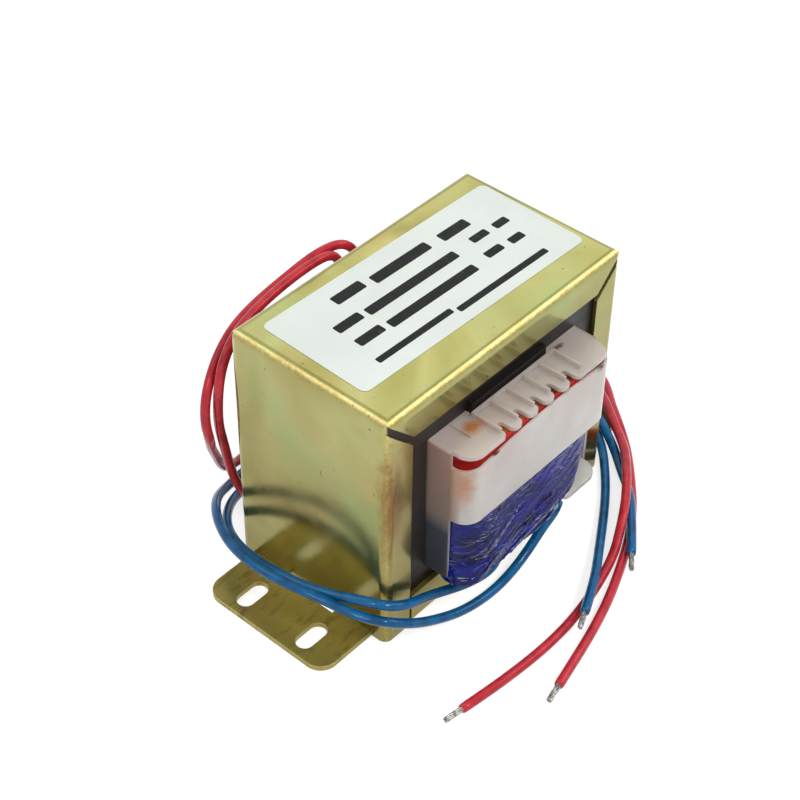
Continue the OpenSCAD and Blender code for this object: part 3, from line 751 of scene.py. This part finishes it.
# inner layers of the same tape, where the film is drawn in
dress(nodes["secondary_winding"], BLUE_TAPE)
dress(film, BLUE_TAPE)
dress(nodes["label"], LABEL)
dress(bars, INK)
for lead_name, (lead, end) in leads.items():
    red = lead_name.startswith("red")
    dress(lead, RED_PVC if red else BLUE_PVC)
    dress(end, TINNED)

# ---------------------------------------------------------------- floor and light


def background_rays(tree):
    """One for rays that show the background: camera, glossy and transmission."""
    rays = tree.nodes.new("ShaderNodeLightPath")
    total = rays.outputs["Is Camera Ray"]
    for name in ("Is Glossy Ray", "Is Transmission Ray"):
        either = tree.nodes.new("ShaderNodeMath")
        either.operation = "MAXIMUM"
        tree.links.new(total, either.inputs[0])
        tree.links.new(rays.outputs[name], either.inputs[1])
        total = either.outputs[0]
    return total


def between(tree, fac, low, high):
    """low where fac is 0 and high where it is 1."""
    span = tree.nodes.new("ShaderNodeMapRange")
    tree.links.new(fac, span.inputs["Value"])
    span.inputs["To Min"].default_value = low
    span.inputs["To Max"].default_value = high
    return span.outputs["Result"]


FLOOR_HALF = 3
FLOOR_GAP = 0.2 * MM
FLOOR_GREY = 0.52
FLOOR_GLOW = 0.72
WORLD_LIGHT = 0.5
WORLD_SEEN = 1

corners = [(x * FLOOR_HALF, y * FLOOR_HALF, 0) for x, y in ((-1, -1), (1, -1), (1, 1), (-1, 1))]
floor = new_mesh("floor", corners, [(0, 1, 2, 3)], smooth=False)
floor.location.z = -FLOOR_GAP
paper = bpy.data.materials.new("floor")
paper.use_nodes = True
paper_bsdf = paper.node_tree.nodes["Principled BSDF"]
paper_bsdf.inputs["Base Color"].default_value = (FLOOR_GREY, FLOOR_GREY, FLOOR_GREY, 1)
paper_bsdf.inputs["Roughness"].default_value = 0.9
paper_bsdf.inputs["Emission Color"].default_value = (1, 1, 1, 1)
glow = between(paper.node_tree, background_rays(paper.node_tree), 0, FLOOR_GLOW)
paper.node_tree.links.new(glow, paper_bsdf.inputs["Emission Strength"])
floor.data.materials.append(paper)

world = bpy.data.worlds.new("world")
scene.world = world
world.use_nodes = True
background = world.node_tree.nodes["Background"]
background.inputs["Color"].default_value = (1, 1, 1, 1)
strength = between(world.node_tree, background_rays(world.node_tree), WORLD_LIGHT, WORLD_SEEN)
world.node_tree.links.new(strength, background.inputs["Strength"])


def lamp(name, place, target, size, power):
    """A round soft lamp, size in metres and power in watts, that looks at a point."""
    light = bpy.data.lights.new(name, "AREA")
    light.shape = "DISK"
    light.size = size
    light.energy = power
    obj = bpy.data.objects.new(name, light)
    scene.collection.objects.link(obj)
    obj.location = place
    obj.rotation_mode = "QUATERNION"
    obj.rotation_quaternion = (Vector(target) - Vector(place)).to_track_quat("-Z", "Y")


lamp("key", place=(-0.10, -0.60, 0.80), target=(0, 0, 0.03), size=0.20, power=3.2)
lamp("fill", place=(-0.85, -0.25, 0.60), target=(0, 0, 0.03), size=0.20, power=1.2)
lamp("back", place=(0.53, 0.35, 0.64), target=(0, 0, 0.05), size=0.45, power=0.40)
# two lamps that the rubbed bends of the channel's top reflect
lamp("front_bend", place=(0.48, -0.41, 0.59), target=(0, -0.03, 0.07), size=0.42, power=1.2)
lamp("left_bend", place=(-0.39, 0.36, 0.70), target=(-0.06, 0, 0.07), size=0.42, power=0.8)
